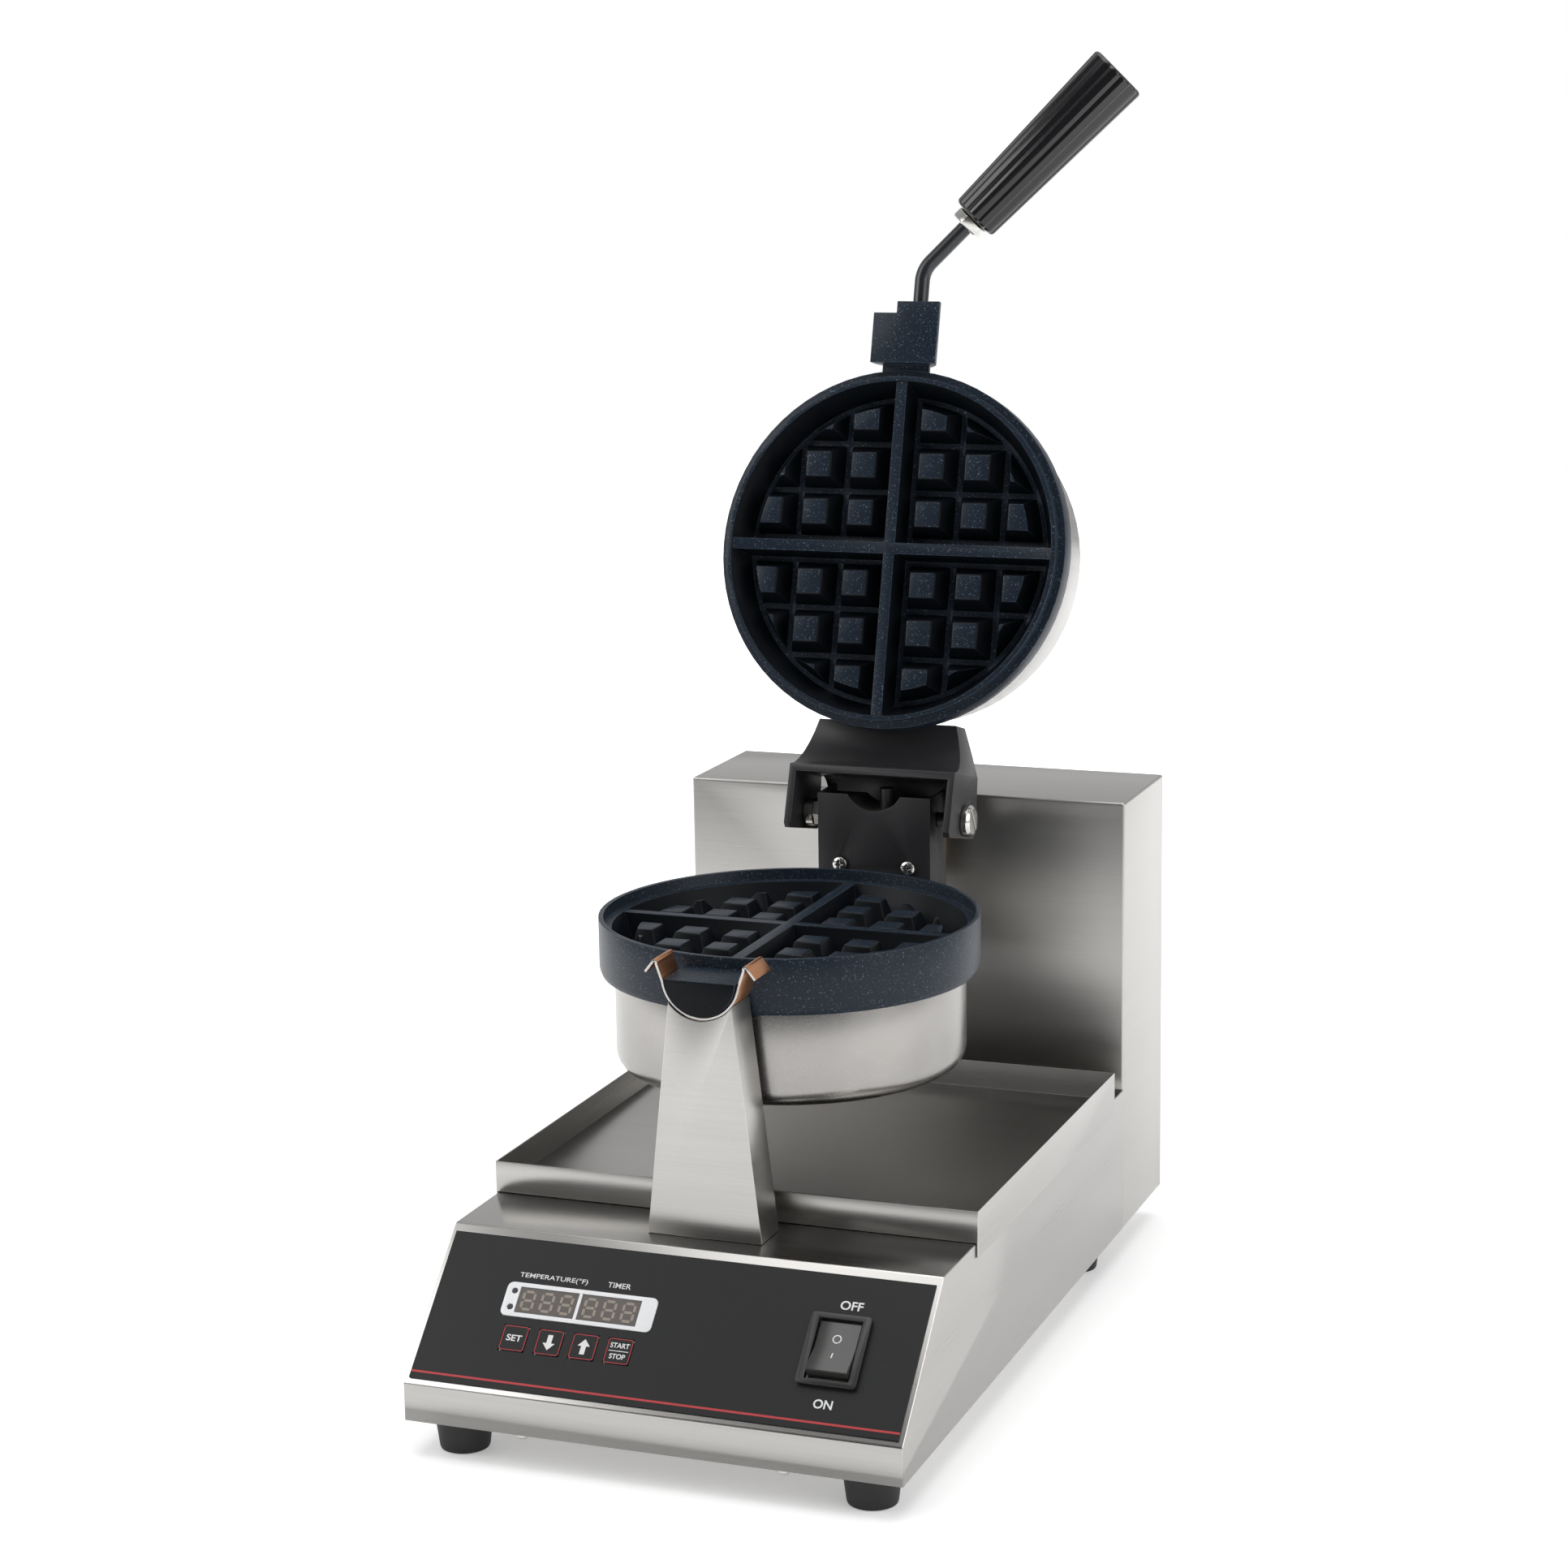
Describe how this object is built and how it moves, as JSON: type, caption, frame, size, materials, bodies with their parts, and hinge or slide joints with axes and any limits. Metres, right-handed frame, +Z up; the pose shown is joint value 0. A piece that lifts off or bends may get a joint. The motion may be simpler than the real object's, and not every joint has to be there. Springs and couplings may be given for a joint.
{
  "type": "waffle maker",
  "caption": "Countertop waffle baker with a round hinged lid, a plate set that tilts on a front post, a sloped control panel and a drip tray.",
  "frame": {"origin": "on the counter under the middle of the housing's footprint", "axes": "+X to the user's right, +Y to the back, +Z up; the lid is stored open"},
  "size_m": [0.2622, 0.4753, 0.6755],
  "materials": {
    "brushed_steel": "brushed stainless sheet",
    "nonstick_casting": "cast aluminium with a speckled blue-black non-stick coating",
    "black_paint": "black powder coat on steel",
    "zinc_plate": "bright zinc plate on steel",
    "black_plastic": "glossy black moulding",
    "charcoal_film": "satin charcoal film",
    "white_plastic": "white moulding",
    "black_rubber": "matt black rubber",
    "circuit_board": "green laminate with components",
    "display_glass": "dark display window",
    "lamp_red": "red lamp lens",
    "copper_liner": "copper-coloured bearing strip",
    "heater_sheath": "plain grey steel",
    "bronze": "plain bronze"
  },
  "bodies": {
    "base": {"base_housing": "brushed_steel", "tower_housing": "brushed_steel", "bottom_plate": "brushed_steel", "front_post": "brushed_steel", "bearing_plate": "brushed_steel", "foot_front_left": "black_rubber", "foot_front_right": "black_rubber", "foot_rear_left": "black_rubber", "foot_rear_right": "black_rubber", "foot_screw_front_left": "zinc_plate", "foot_screw_front_right": "zinc_plate", "foot_screw_rear_left": "zinc_plate", "foot_screw_rear_right": "zinc_plate", "lip_screw_left": "zinc_plate", "lip_screw_right": "zinc_plate", "control_overlay": "charcoal_film", "display_bezel": "white_plastic", "terminal_block": "white_plastic", "timer_display": "display_glass", "temperature_display": "display_glass", "timer_lamp": "lamp_red", "temperature_lamp": "lamp_red", "switch_bezel": "black_plastic", "power_inlet": "black_plastic", "control_board": "circuit_board", "relay_board": "circuit_board", "cradle_liner": "copper_liner", "shaft_bearing": "bronze"},
    "tilt_frame": {"lower_plate": "nonstick_casting", "lower_cover": "brushed_steel", "lower_heater": "heater_sheath", "lower_sensor": "zinc_plate", "hinge_housing": "black_paint", "pivot_block": "heater_sheath", "hinge_bolt_left": "zinc_plate", "hinge_bolt_right": "zinc_plate", "hinge_nut": "zinc_plate", "hinge_washer": "zinc_plate", "plate_screw_left": "zinc_plate", "plate_screw_right": "zinc_plate", "lid_lead_sleeve": "black_plastic", "tilt_shaft": "heater_sheath", "lock_collar": "zinc_plate"},
    "lid": {"upper_plate": "nonstick_casting", "upper_cover": "brushed_steel", "upper_heater": "heater_sheath", "upper_sensor": "zinc_plate", "lid_bracket": "black_paint", "handle_rod": "black_paint", "handle_nut": "zinc_plate", "handle_grip": "black_plastic"},
    "drip_tray": {"drip_tray": "brushed_steel"},
    "switch_rocker": {"switch_rocker": "black_plastic"},
    "key_set": {"key_set": "charcoal_film"},
    "key_down": {"key_down": "charcoal_film"},
    "key_up": {"key_up": "charcoal_film"},
    "key_start_stop": {"key_start_stop": "charcoal_film"}
  },
  "joints": [
    {"name": "plates_tilt", "type": "hinge", "parent": "base", "child": "tilt_frame", "pos_m": [0, -0.0327, 0.2335], "axis": [0, 1, 0], "range_deg": [-32, 32]},
    {"name": "lid_hinge", "type": "hinge", "parent": "tilt_frame", "child": "lid", "pos_m": [0, 0.1149, 0.2588], "axis": [1, 0, 0], "range_deg": [0, 105.5]},
    {"name": "tray_lift", "type": "slide", "parent": "base", "child": "drip_tray", "axis": [0, 0, 1], "range_m": [0, 0.015]},
    {"name": "switch_rocker_tilt", "type": "hinge", "parent": "base", "child": "switch_rocker", "pos_m": [0.0857, -0.20393, 0.06706], "axis": [1, 0, 0], "range_deg": [0, 20]},
    {"name": "key_set_press", "type": "slide", "parent": "base", "child": "key_set", "axis": [0, -0.6992, 0.7149], "range_m": [-0.0003, 0], "stiffness_N_per_m": 2000, "springref_m": 0.0001},
    {"name": "key_down_press", "type": "slide", "parent": "base", "child": "key_down", "axis": [0, -0.6992, 0.7149], "range_m": [-0.0003, 0], "stiffness_N_per_m": 2000, "springref_m": 0.0001},
    {"name": "key_up_press", "type": "slide", "parent": "base", "child": "key_up", "axis": [0, -0.6992, 0.7149], "range_m": [-0.0003, 0], "stiffness_N_per_m": 2000, "springref_m": 0.0001},
    {"name": "key_start_stop_press", "type": "slide", "parent": "base", "child": "key_start_stop", "axis": [0, -0.6992, 0.7149], "range_m": [-0.0003, 0], "stiffness_N_per_m": 2000, "springref_m": 0.0001}
  ]
}
